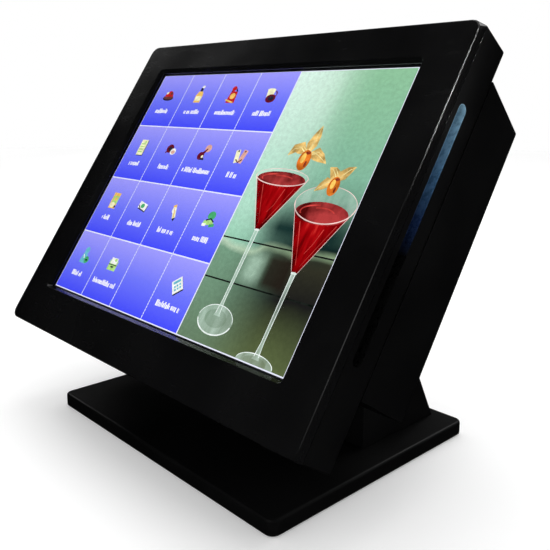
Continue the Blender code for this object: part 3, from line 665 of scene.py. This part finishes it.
def draw_captions():
    marks = []
    for row, widths in enumerate(CAPTION_WIDTHS):
        for column, width in enumerate(widths):
            x, y = cell_corner(row, column)
            marks += caption_marks(x + CELL_W / 2, y + CELL_H * CAPTION_HEIGHT, width, row * COLUMNS + column)
    layer("captions", 2, marks, paint("caption_white", display(0.97, 0.97, 1.0), 0.05))


# The still life beside the buttons: two stemmed glasses of red drink in front of a green wall

# Where the wall's shades change, as shares of the picture's height, and the shades at its two ends
FLOOR, STEP, LEDGE_UNDER, LEDGE, WALL_FOOT, WALL_MIDDLE, WALL_TOP = 0.0, 0.21, 0.32, 0.34, 0.36, 0.6, 1.0
WALL_LEFT = (
    (FLOOR, (0.4, 0.5, 0.4)),
    (LEDGE_UNDER, (0.45, 0.6, 0.5)),
    (LEDGE, (0.7, 0.8, 0.7)),
    (WALL_FOOT, (0.6, 0.8, 0.7)),
    (WALL_TOP, (0.85, 0.95, 0.9)),
)
WALL_RIGHT = (
    (FLOOR, (0.35, 0.4, 0.25)),
    (STEP, (0.1, 0.1, 0.1)),
    (LEDGE_UNDER, (0.2, 0.2, 0.15)),
    (LEDGE, (0.6, 0.7, 0.55)),
    (WALL_FOOT, (0.05, 0.1, 0.1)),
    (WALL_MIDDLE, (0.5, 0.7, 0.6)),
    (WALL_TOP, (0.55, 0.75, 0.6)),
)
# Soft patches of light and shade on the wall: (left, right, low, high, blur), strength, colour
WALL_PATCHES = (
    ((228, 300, 82, 108, 12), 0.95, (0.04, 0.15, 0.15)),
    ((225, 241, 52, 73, 5), 0.8, (0.64, 0.76, 0.68)),
    ((246, 268, 51, 74, 3), 0.85, (0.13, 0.1, 0.08)),
    ((222, 232, 165, 230, 12), 0.35, (0.9, 0.99, 0.94)),
    ((186, 206, 96, 150, 12), 0.5, (0.72, 0.9, 0.82)),
)
WALL_LEFT_END, WALL_RIGHT_END = GRID_W + 6, GRID_W + 84
LEDGE_LINES = ((79.6, 80.8), (47.3, 48.5))
WALL_EDGE, WALL_TOP_EDGE = 0.7, 0.6


def wall_finish(name="still_life_wall", veil=0.0):
    """The wall and ledge behind the glasses, or the same wall seen through clear glass."""
    finish = lit(name)
    drift = finish.spread(finish.noise(16, 2), -0.02, 0.02)
    height = finish.math("ADD", finish.along((0, 1, 0), 0, PICTURE_H * MM), drift)
    side = finish.along((1, 0, 0), WALL_LEFT_END * MM, WALL_RIGHT_END * MM)
    left, right = [finish.ramp(height, [(at, display(*colour)) for at, colour in stops])
                   for stops in (WALL_LEFT, WALL_RIGHT)]
    colour = finish.mix(finish.spread(side, 0, 1, 0, 1), left, right)
    for area, level, tint in WALL_PATCHES:
        share = finish.math("MULTIPLY", finish.patch(*area), level)
        colour = finish.mix(share, colour, display(*tint))
    grain = finish.spread(finish.noise(300, 3), 0.93, 1.05)
    colour = finish.mix(1.0, colour, grain, "MULTIPLY")
    shine = finish.spread(finish.noise(60, 3, finish.stretched((2, 0.5, 1))), veil * 0.5, veil * 1.5)
    finish.set("Emission Color", finish.mix(shine, colour, display(0.84, 0.93, 0.88)))
    return finish


DRINK_FADE, DRINK_OVER = 9, 20


def drink_finish(name, x, low, high):
    """Red drink, darkest at its tip and its sides, with paler streaks."""
    finish = lit(name)
    height = finish.along((0, 1, 0), low * MM, high * MM)
    streaks = finish.noise(70, 3, finish.stretched((2.6, 0.5, 1)))
    level = finish.math("ADD", height, finish.spread(streaks, -0.35, 0.35))
    middle = finish.patch(x - DRINK_FADE, x + DRINK_FADE, low, high + DRINK_OVER, DRINK_FADE)
    level = finish.math("MULTIPLY", level, finish.spread(middle, 0.35, 1.0, 0, 1))
    stops = [
        (0.0, display(0.3, 0.0, 0.01)),
        (0.4, display(0.55, 0.01, 0.03)),
        (0.75, display(0.66, 0.04, 0.06)),
        (1.0, display(0.82, 0.2, 0.18)),
    ]
    finish.set("Emission Color", finish.ramp(level, stops))
    return finish


GLASS_PAINTS = {
    "clear": wall_finish("glass_clear", 0.2),
    "foot": wall_finish("glass_foot", 0.33),
    "stem": wall_finish("glass_stem", 0.42),
    "edge": paint("glass_edge", display(0.9, 0.97, 0.93), 0.2, 200),
    "surface": paint("drink_surface", display(0.53, 0.1, 0.1), 0.7, 60),
    "gleam": paint("drink_gleam", display(0.74, 0.22, 0.2), 0.4, 90),
    "rim": paint("rim_light", display(0.93, 0.8, 0.78), 0.2, 90),
    "leaf": paint("paper_leaf", display(0.84, 0.69, 0.4), 0.45, 130),
    "leaf_pale": paint("paper_leaf_pale", display(0.95, 0.86, 0.6), 0.25, 150),
    "berry": paint("berry", display(0.82, 0.43, 0.1), 0.4, 100),
    "berry_dark": paint("berry_dark", display(0.5, 0.16, 0.05), 0.4, 120),
    "berry_lit": paint("berry_lit", display(0.98, 0.76, 0.36), 0.2, 120),
}


TIP_HALF = 1.6
BOWL_FOOT = 2.8
SLANT_PULL, SLANT_END, SLANT_POINT = 0.55, 3, 0.3
# Half widths of a stem, with their heights from its top and from its foot
STEM_TOP = ((2.3, 0), (1.7, -7))
STEM_LOW = ((1.4, 14), (1.9, 5), (3.4, 0))
STEM_DROP, STEM_RISE = 1.2, 3
SHINE_SIDES, SHINE_WIDTH = (-1.6, 1.5), 0.55


class Stemware:
    """A stemmed glass of red drink; rim, drink and foot are (middle height, half width, half height)."""

    def __init__(self, name, x, rim, drink, tip_y, foot):
        self.name, self.x, self.tip_y = name, x, tip_y
        self.rim_y, self.half, self.tall = rim
        self.level, self.wide, self.deep = drink
        self.foot_y, self.foot_w, self.foot_h = foot

    def layer(self, part, number, outlines, paint_name):
        layer(f"{self.name}_{part}", number, outlines, GLASS_PAINTS[paint_name])

    def draw(self):
        self.draw_bowl()
        self.draw_surface()
        self.draw_rim()
        self.draw_stem()
        self.draw_foot()

    def tip(self):
        high, low = self.tip_y + TIP_HALF, self.tip_y - TIP_HALF
        return [(self.x + 2 * TIP_HALF, high), (self.x + TIP_HALF, low),
                (self.x - TIP_HALF, low), (self.x - 2 * TIP_HALF, high)]

    def draw_bowl(self):
        bowl = arc(self.x, self.rim_y, self.half, self.tall, 0, 180, 24) + self.tip()[::-1]
        self.layer("bowl", 2, [bowl], "clear")
        body = arc(self.x, self.level, self.wide, self.deep, 180, 360, 20) + self.tip()
        red = drink_finish(self.name + "_red", self.x, self.tip_y, self.level)
        layer(self.name + "_drink", 3, [body], red)

    def slant(self, share, top, width, end=5):
        """A tapering line from the drink's surface towards the tip."""
        start = (self.x + self.wide * share, self.level - top)
        middle = (self.x + self.wide * share * SLANT_PULL + share, (self.level + self.tip_y) / 2)
        finish = (self.x + share * SLANT_END, self.tip_y + end)
        return stroke([start, middle, finish], [width, width * 0.7, SLANT_POINT])

    def draw_surface(self):
        x, level, wide, deep = self.x, self.level, self.wide, self.deep
        self.layer("surface", 4, [oval(x, level, wide * 0.97, deep * 0.95)], "surface")
        ripples = [band(x, level, wide * 0.8, deep * 0.72, 1.3, 100, 200),
                   band(x, level, wide * 0.5, deep * 0.5, 1.0, 20, 120)]
        slants = [self.slant(-0.6, deep * 0.9, 0.8), self.slant(0.35, deep * 1.2, 0.7, 14),
                  self.slant(0.72, deep * 0.8, 0.6)]
        self.layer("gleam", 5, ripples + slants, "gleam")

    def draw_rim(self):
        x, rim_y, half, tall = self.x, self.rim_y, self.half, self.tall
        walls = [stroke([(x + side * half, rim_y), (x + side * BOWL_FOOT, self.tip_y)], [0.5, 0.3])
                 for side in (-1, 1)]
        back = band(x, rim_y, half, tall, 0.45, 0, 180)
        front = band(x, rim_y, half, tall, 0.85, 180, 360)
        self.layer("rim", 6, [back, front, *walls], "rim")

    def draw_stem(self):
        x, top, low = self.x, self.tip_y - STEM_DROP, max(self.foot_y + STEM_RISE, LINE)
        sides = [(half, top + up) for half, up in STEM_TOP] + [(half, low + up) for half, up in STEM_LOW]
        right = [(x + half, y) for half, y in sides]
        left = [(x - half, y) for half, y in sides]
        self.layer("stem", 4, [right + left[::-1]], "stem")
        shine = [stroke([(x + dx, top), (x + dx * 0.75, low + 12), (x + dx * 1.4, low + 2)], SHINE_WIDTH)
                 for dx in SHINE_SIDES]
        knot = [oval(x, top + 0.6, 2.8, 0.9, 14)]
        self.layer("shine", 5, shine + knot, "edge")

    def draw_foot(self):
        """A clear disc with a thin bright rim, cut off at the picture's lower edge."""
        def cut(outline):
            return [(px, max(py, LINE)) for px, py in outline]
        x, y, wide, tall = self.x, self.foot_y, self.foot_w, self.foot_h
        self.layer("foot", 2, [cut(oval(x, y, wide, tall))], "foot")
        self.layer("foot_inner", 3, [cut(oval(x, y + 1, wide * 0.62, tall * 0.6))], "clear")
        edges = [band(x, y, wide, tall, 0.6, 5, 175)]
        if y > tall:
            edges.append(band(x, y, wide, tall, 1.0, 190, 350))
        self.layer("foot_rim", 5, edges, "edge")


# Name, middle, half sizes and husk leaves; each leaf is a line of points from the berry's middle
GARNISHES = (
    ("garnish_1", 234.2, 148.3, 6.0, 8.5, (
        ((0, 6), (1, 13), (2.6, 21), (3.6, 29)),
        ((-2, 6), (-8, 10), (-14, 9), (-18.5, 3)),
        ((3, 5), (9, 6), (15, 3), (22, -1)),
    )),
    ("garnish_2", 272.2, 130.7, 5.0, 7.4, (
        ((0, 5), (-3, 9), (-6, 12), (-10, 14)),
        ((1, 5), (4, 9), (8, 13), (12.5, 16)),
        ((-2, 3), (-7, 2.4), (-11, -1), (-15.5, -5)),
    )),
)
# Widths along a leaf beside a berry 12 mm wide, and along the veins drawn on it
LEAF_WIDTHS = (3.4, 10.5, 7.5, 0.6)
LEAF_BERRY = 6
VEIN_WIDTHS, SIDE_VEIN_WIDTHS = (0.9, 0.7, 0.5, 0.2), (0.4, 0.5, 0.2)
SIDE_VEIN_X, SIDE_VEIN_Y = 1.3, 1.5


def draw_garnish(name, x, y, half, tall, paths):
    """A berry in its papery husk."""
    leaves, veins = [], []
    stalk, wide, narrow, point = LEAF_WIDTHS
    widths = [stalk, wide * half / LEAF_BERRY, narrow * half / LEAF_BERRY, point]
    for path in paths:
        spine = moved(path, x, y)
        leaves.append(stroke(spine, widths))
        veins.append(stroke(spine, VEIN_WIDTHS))
        side_vein = [(px + SIDE_VEIN_X, py + SIDE_VEIN_Y) for px, py in spine[:3]]
        veins.append(stroke(side_vein, SIDE_VEIN_WIDTHS))
    caps = [oval(x + half * 0.2, y + tall * 0.72, half * 0.42, tall * 0.16, 16),
            oval(x + half * 0.45, y - tall * 0.35, half * 0.2, tall * 0.3, 16)]
    gleam = oval(x - half * 0.25, y + tall * 0.2, half * 0.38, tall * 0.5)
    layer(name + "_leaves", 7, leaves, GLASS_PAINTS["leaf"])
    layer(name + "_leaf_veins", 8, veins, GLASS_PAINTS["leaf_pale"])
    layer(name + "_berry", 9, [oval(x, y, half, tall)], GLASS_PAINTS["berry"])
    layer(name + "_berry_shade", 9.8, caps, GLASS_PAINTS["berry_dark"])
    layer(name + "_berry_light", 10.6, [gleam], GLASS_PAINTS["berry_lit"])


def draw_still_life():
    left, right = GRID_W + WALL_EDGE, PICTURE_W - WALL_EDGE
    layer("wall", 1, [box(left, right, LINE, PICTURE_H - WALL_TOP_EDGE)], wall_finish())
    shade = paint("ledge_shadow", display(0.04, 0.07, 0.05), 0.2)
    layer("ledge_lines", 1.8, [box(left, right, low, high) for low, high in LEDGE_LINES], shade)
    tall_glass = Stemware("tall_glass", 219.9, rim=(133.0, 27.3, 7.2), drink=(131.6, 25.6, 6.4),
                          tip_y=90.5, foot=(19.5, 18.3, 11.3))
    near_glass = Stemware("near_glass", 271.8, rim=(116.5, 28.0, 14.4), drink=(110.0, 25.0, 9.0),
                          tip_y=66.0, foot=(1.2, 17.5, 7.0))
    tall_glass.draw()
    near_glass.draw()
    for garnish in GARNISHES:
        draw_garnish(*garnish)


# Glossy lining of the card slot, which also covers the case's cut edge; its colour carries a painted
# highlight

SLOT_FRONT, SLOT_BACK, SLOT_TOP = 12.4, 21.6, 204.6
SLOT_END_STEPS = 12
LINING_OUTSIDE, LINING_INSIDE, LINING_FLOOR = 0.15, 0.4, 3.0


def slot_ring(inset, across):
    """Points round the slot's outline, set in from its wall, at a place across the head."""
    radius = (SLOT_BACK - SLOT_FRONT) / 2 - inset
    middle = (SLOT_FRONT + SLOT_BACK) / 2
    ends = ((SLOT_TOP - radius - inset, 0), (SCREEN_H - SLOT_TOP + radius + inset, 180))
    points = []
    for height, start in ends:
        for i in range(SLOT_END_STEPS + 1):
            a = math.radians(start + 180 / SLOT_END_STEPS * i)
            out = FACE - (middle + radius * math.cos(a)) * MM
            points.append(head_point(across, SCREEN_LOW + (height + radius * math.sin(a)) * MM, out))
    return points


def draw_slot_lining():
    mouth = HEAD_RIGHT - LINING_OUTSIDE * MM
    floor = reach("card_reader_body", ACROSS)[0] + LINING_FLOOR * MM
    section = ((LINING_OUTSIDE, mouth), (LINING_OUTSIDE, floor),
               (LINING_INSIDE, floor), (LINING_INSIDE, mouth))
    bm = bmesh.new()
    rings = [[bm.verts.new(point) for point in slot_ring(inset, across)] for inset, across in section]
    for near, far in zip(rings, rings[1:] + rings[:1]):
        for i, vert in enumerate(near):
            j = (i + 1) % len(near)
            bm.faces.new((vert, near[j], far[j], far[i]))
    # The lining's finish paints the highlight at the top of the slot into its colour
    finish = slot_plastic_painted_highlight("slot_lining_painted_highlight")
    piece_from("slot_lining", bm, Matrix.Identity(4), "head", finish, smooth=True)


# Contacts in the sockets, in metres; half sizes are across the head, up it and out of it

PIN_ROWS, PIN_STEP, PIN_ROW_STEP = ((-1, 5), (1, 4)), 0.0027, 0.0014
PIN_HEIGHT, PIN_HALF = 0.0009, (0.0005, 0.0006, 0.0005)
CONTACTS, CONTACT_STEP = 8, 0.00105
CONTACT_HEIGHT, CONTACT_OUT, CONTACT_HALF = 0.0014, 0.0022, (0.0003, 0.0012, 0.0004)
TONGUE_OFFSETS, TONGUE_MARGIN = (0.0034, -0.0028), 0.0022
TONGUE_HEIGHT, TONGUE_HALF = 0.0014, (0.0012, 0.0005)
INLET_PIN_HEIGHT, INLET_PIN_LENGTH, INLET_PIN_RADII = 0.0014, 0.0024, (0.0011, 0.0009)


def port_frame(node):
    """Middle and mouth of a downward-facing connector, and half its width."""
    low, high = reach(node, ACROSS)
    back, front = reach(node, OUT)
    return (low + high) / 2, (back + front) / 2, reach(node, UP)[0], (high - low) / 2


def add_bar(bm, x, y, z, half):
    matrix = Matrix.Translation((x, y, z)) @ Matrix.Diagonal((*[h * 2 for h in half], 1))
    bmesh.ops.create_cube(bm, size=1.0, matrix=matrix)


def draw_pins(node, axes, finish):
    """Two staggered rows of pins."""
    x, out, mouth, _ = port_frame(node)
    bm = bmesh.new()
    for row, count in PIN_ROWS:
        for i in range(count):
            across = x + (i - (count - 1) / 2) * PIN_STEP
            add_bar(bm, across, mouth + PIN_HEIGHT, out + row * PIN_ROW_STEP, PIN_HALF)
    piece_from(node + "_pins", bm, axes, "head", finish)


def draw_jack_contacts(node, axes, finish):
    x, out, mouth, _ = port_frame(node)
    bm = bmesh.new()
    for i in range(CONTACTS):
        across = x + (i - (CONTACTS - 1) / 2) * CONTACT_STEP
        add_bar(bm, across, mouth + CONTACT_HEIGHT, out + CONTACT_OUT, CONTACT_HALF)
    piece_from(node + "_contacts", bm, axes, "head", finish)


def draw_usb_tongues(axes, finish):
    x, out, mouth, half = port_frame("usb_port")
    bm = bmesh.new()
    for offset in TONGUE_OFFSETS:
        add_bar(bm, x, mouth + TONGUE_HEIGHT, out + offset, (half - TONGUE_MARGIN, *TONGUE_HALF))
    piece_from("usb_port_tongues", bm, axes, "head", finish)


def draw_inlet_pin(axes, finish):
    x, out, mouth, _ = port_frame("power_inlet")
    upright = Matrix.Rotation(math.radians(90), 4, "X")
    matrix = Matrix.Translation((x, mouth + INLET_PIN_HEIGHT, out)) @ upright
    bm = bmesh.new()
    bmesh.ops.create_cone(bm, cap_ends=True, segments=20, radius1=INLET_PIN_RADII[0],
                          radius2=INLET_PIN_RADII[1], depth=INLET_PIN_LENGTH, matrix=matrix)
    piece_from("power_inlet_pin", bm, axes, "head", finish, smooth=True)


def draw_contacts():
    gold = metal("contact_gold", (0.7, 0.48, 0.16), (0.86, 0.62, 0.26), (0.2, 0.35))
    dark = moulded_plastic("socket_plastic", TRIM, TRIM_LIT, grain=900, depth=0.4, rough=(0.4, 0.6))
    axes = head_matrix(0, 0, 0)
    for node in ("serial_port_left", "serial_port_right", "display_port"):
        draw_pins(node, axes, gold)
    for node in ("network_port", "cash_drawer_port"):
        draw_jack_contacts(node, axes, gold)
    draw_usb_tongues(axes, dark)
    draw_inlet_pin(axes, gold)


# Floor, backdrop, lights and camera

FLOOR_RADIUS, FLOOR_DROP, FLOOR_GLOW = 4.0, 0.0002, 0.14


def draw_floor():
    bpy.ops.mesh.primitive_circle_add(vertices=96, radius=FLOOR_RADIUS, fill_type="NGON",
                                      location=(0, 0, -FLOOR_DROP))
    floor = bpy.context.active_object
    floor.name = "floor"
    finish = Finish("pale_floor", Specular_IOR_Level=0.1, Roughness=0.7)
    shade = finish.noise(3, 2)
    finish.set("Base Color", finish.ramp(shade, [(0.3, (0.9, 0.9, 0.9)), (0.7, (0.93, 0.93, 0.93))]))
    finish.set("Emission Color", (1, 1, 1))
    finish.set("Emission Strength", FLOOR_GLOW)
    floor.data.materials.append(finish.material)
    floor.visible_glossy = False


def light_world():
    world = bpy.data.worlds.new("studio")
    bpy.context.scene.world = world
    world.use_nodes = True
    background = world.node_tree.nodes["Background"]
    background.inputs["Color"].default_value = (1, 1, 1, 1)
    background.inputs["Strength"].default_value = 1.0
    world.cycles_visibility.glossy = False
    world.cycles_visibility.transmission = False


# The camera's place, in metres, and its angles, in radians, fitted to the photo's straight edges

CAMERA_SPOT = Vector((0.43891, -0.37029, 0.27536))
CAMERA_AZIMUTH, CAMERA_ELEVATION, CAMERA_ROLL = 0.8045, 0.20579, 0.00739
SENSOR_WIDTH, LENS, SHIFT = 36.0, 45.875, (-0.0255, -0.047)


def make_camera():
    data = bpy.data.cameras.new("camera")
    data.sensor_width = SENSOR_WIDTH
    data.lens = LENS
    data.shift_x, data.shift_y = SHIFT
    data.clip_start, data.clip_end = 0.01, 50
    camera = bpy.data.objects.new("camera", data)
    bpy.context.scene.collection.objects.link(camera)
    a, e = CAMERA_AZIMUTH, CAMERA_ELEVATION
    back = Vector((math.sin(a) * math.cos(e), -math.cos(a) * math.cos(e), math.sin(e)))
    level = Vector((math.cos(a), math.sin(a), 0))
    rise = back.cross(level)
    right = level * math.cos(CAMERA_ROLL) + rise * math.sin(CAMERA_ROLL)
    matrix = Matrix((right, back.cross(right), back)).transposed().to_4x4()
    matrix.translation = CAMERA_SPOT
    camera.matrix_world = matrix
    bpy.context.scene.camera = camera


def area_light(name, spot, target, width, height, radiance, rise=Vector((0, 0, 1))):
    """A soft box with a given brightness; its power follows from its size."""
    data = bpy.data.lights.new(name, "AREA")
    data.shape = "RECTANGLE"
    data.size, data.size_y = width, height
    data.energy = radiance * math.pi * width * height
    light = bpy.data.objects.new(name, data)
    bpy.context.scene.collection.objects.link(light)
    back = (Vector(spot) - Vector(target)).normalized()
    side = rise.cross(back).normalized()
    matrix = Matrix((side, back.cross(side), back)).transposed().to_4x4()
    matrix.translation = spot
    light.matrix_world = matrix
    light.visible_camera = False
    return light


# A narrow light for the highlight on the head's front right edge, in metres and degrees

EDGE_LIGHT_AWAY, EDGE_LIGHT_WIDTH, EDGE_LIGHT_RADIANCE, EDGE_LIGHT_SPREAD = 0.3, 0.016, 7, 10
EDGE_TURN, EDGE_TOP, EDGE_MIDDLE, EDGE_END = 53, 0.004, 0.042, 0.08


def edge_mirror(drop):
    """Where a point on the edge, some way below its top, mirrors the camera beside the head."""
    turn = math.radians(EDGE_TURN)
    point = head_point(HEAD_RIGHT, HEAD_HIGH - drop, FACE)
    normal = (OUT * math.cos(turn) + ACROSS * math.sin(turn)).normalized()
    view = (CAMERA_SPOT - point).normalized()
    return point + (normal * 2 * normal.dot(view) - view) * EDGE_LIGHT_AWAY


def edge_light():
    top, low = edge_mirror(EDGE_TOP), edge_mirror(EDGE_END)
    target = head_point(HEAD_RIGHT, HEAD_HIGH - EDGE_MIDDLE, FACE)
    strip = area_light("edge_strip", (top + low) / 2, target, EDGE_LIGHT_WIDTH, (top - low).length,
                       EDGE_LIGHT_RADIANCE, top - low)
    strip.data.spread = math.radians(EDGE_LIGHT_SPREAD)
    strip.visible_diffuse = False


# Name, place, width, height and radiance of the soft boxes, which all face the terminal's middle
SOFT_BOXES = (
    ("overhead", (-0.1, 0.3, 1.8), 1.2, 1.2, 1.1),
    ("rear", (0.1, 1.7, 1.2), 1.0, 0.7, 2.0),
    ("left", (-1.6, 0.2, 1.1), 0.5, 0.7, 1.2),
    ("front_low", (0.1, -1.5, 1.4), 0.8, 0.5, 1.2),
)
MIDDLE = (0, 0, 0.15)


def lights():
    edge_light()
    for name, spot, width, height, radiance in SOFT_BOXES:
        area_light(name, spot, MIDDLE, width, height, radiance)


def main():
    finish_nodes()
    for node, width in SOFT_EDGES.items():
        soften(node, width)
    draw_grid()
    draw_icons()
    draw_captions()
    draw_still_life()
    draw_slot_lining()
    draw_contacts()
    draw_floor()
    light_world()
    make_camera()
    lights()
    bpy.context.scene.view_settings.view_transform = "Standard"


main()
